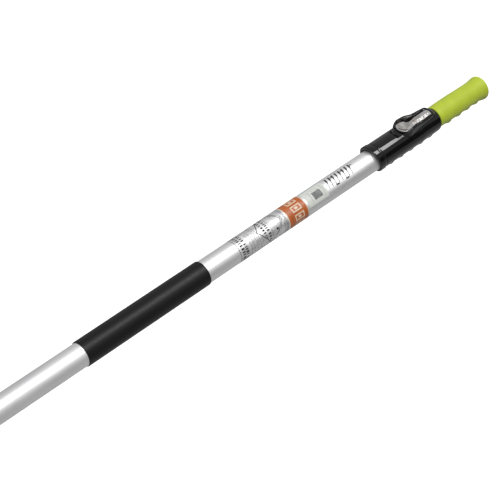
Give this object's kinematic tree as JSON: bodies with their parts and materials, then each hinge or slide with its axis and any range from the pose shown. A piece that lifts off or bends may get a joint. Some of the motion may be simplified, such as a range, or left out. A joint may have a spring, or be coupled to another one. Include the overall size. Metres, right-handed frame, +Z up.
{
  "type": "telescoping pole saw",
  "caption": "Telescoping aluminium pole saw: lever clamp collar, lime butt grip on a sliding inner tube, black fore grip sleeve and a tilting curved pruning blade with hook.",
  "frame": {"origin": "on the pole's axis, at the middle of the fore grip sleeve", "axes": "X along the pole, +X towards the butt grip and -X towards the saw; +Z up on the lever side; blade in the XZ plane with its teeth towards -Z"},
  "size_m": [1.5484, 0.0434, 0.15],
  "materials": {
    "satin_aluminium": "satin extruded",
    "black_sleeve": "matte textured",
    "printed_film": "clear printed film over aluminium",
    "code_sticker": "matte printed",
    "black_gloss": "glossy moulded",
    "black_soft": "matte",
    "grey_nylon": "moulded",
    "zinc_steel": "zinc plated",
    "polished_lever": "polished",
    "lime_rubber": "soft moulded",
    "black_casting": "powder coated",
    "blade_steel": "ground"
  },
  "bodies": {
    "pole": {"code_label": "code_sticker", "collar_screw_front": "zinc_steel", "collar_screw_rear": "zinc_steel", "fore_grip_sleeve": "black_sleeve", "guide_bush": "grey_nylon", "head_socket": "black_casting", "lever_pin": "zinc_steel", "limb_hook": "black_casting", "lock_bolt": "zinc_steel", "lock_collar": "black_gloss", "lock_washer": "zinc_steel", "mouth_ring": "black_soft", "outer_tube": "satin_aluminium", "pivot_bolt": "zinc_steel", "pivot_washer": "zinc_steel", "socket_bolt_front": "zinc_steel", "socket_bolt_rear": "zinc_steel", "socket_nut_front": "zinc_steel", "socket_nut_rear": "zinc_steel", "wrap_label": "printed_film"},
    "handle": {"inner_tube": "satin_aluminium", "front_bush": "grey_nylon", "bush_rivet": "zinc_steel", "handle_grip": "lime_rubber", "butt_plug": "grey_nylon"},
    "lever": {"lock_lever": "polished_lever"},
    "brake": {"brake_shoe": "grey_nylon", "brake_pad": "black_soft"},
    "blade": {"saw_blade": "blade_steel", "blade_plate": "black_casting", "blade_rivet_lower": "zinc_steel", "blade_rivet_upper": "zinc_steel"},
    "pivot_nut": {"pivot_wing_nut": "zinc_steel"},
    "lock_nut": {"lock_wing_nut": "zinc_steel"}
  },
  "joints": [
    {"name": "handle_slide", "type": "slide", "parent": "pole", "child": "handle", "axis": [1, 0, 0], "range_m": [0, 0.7]},
    {"name": "lever_swing", "type": "hinge", "parent": "pole", "child": "lever", "pos_m": [0.528, 0, 0.01945], "axis": [0, 1, 0], "range_deg": [0, 95]},
    {"name": "shoe_lift", "type": "slide", "parent": "pole", "child": "brake", "axis": [0, 0, 1], "range_m": [0, 0.00081]},
    {"name": "blade_tilt", "type": "hinge", "parent": "pole", "child": "blade", "pos_m": [-0.575, 0, 0], "axis": [0, -1, 0], "range_deg": [0, 35]},
    {"name": "pivot_nut_turn", "type": "hinge", "parent": "pole", "child": "pivot_nut", "pos_m": [-0.575, 0, 0], "axis": [0, -1, 0], "continuous": true},
    {"name": "lock_nut_turn", "type": "hinge", "parent": "pole", "child": "lock_nut", "pos_m": [-0.53685, 0, 0.01203], "axis": [0, -1, 0], "continuous": true}
  ],
  "couplings": [
    {"joint": "shoe_lift", "follows": "lever_swing", "m_per_rad": 0.00048249}
  ]
}
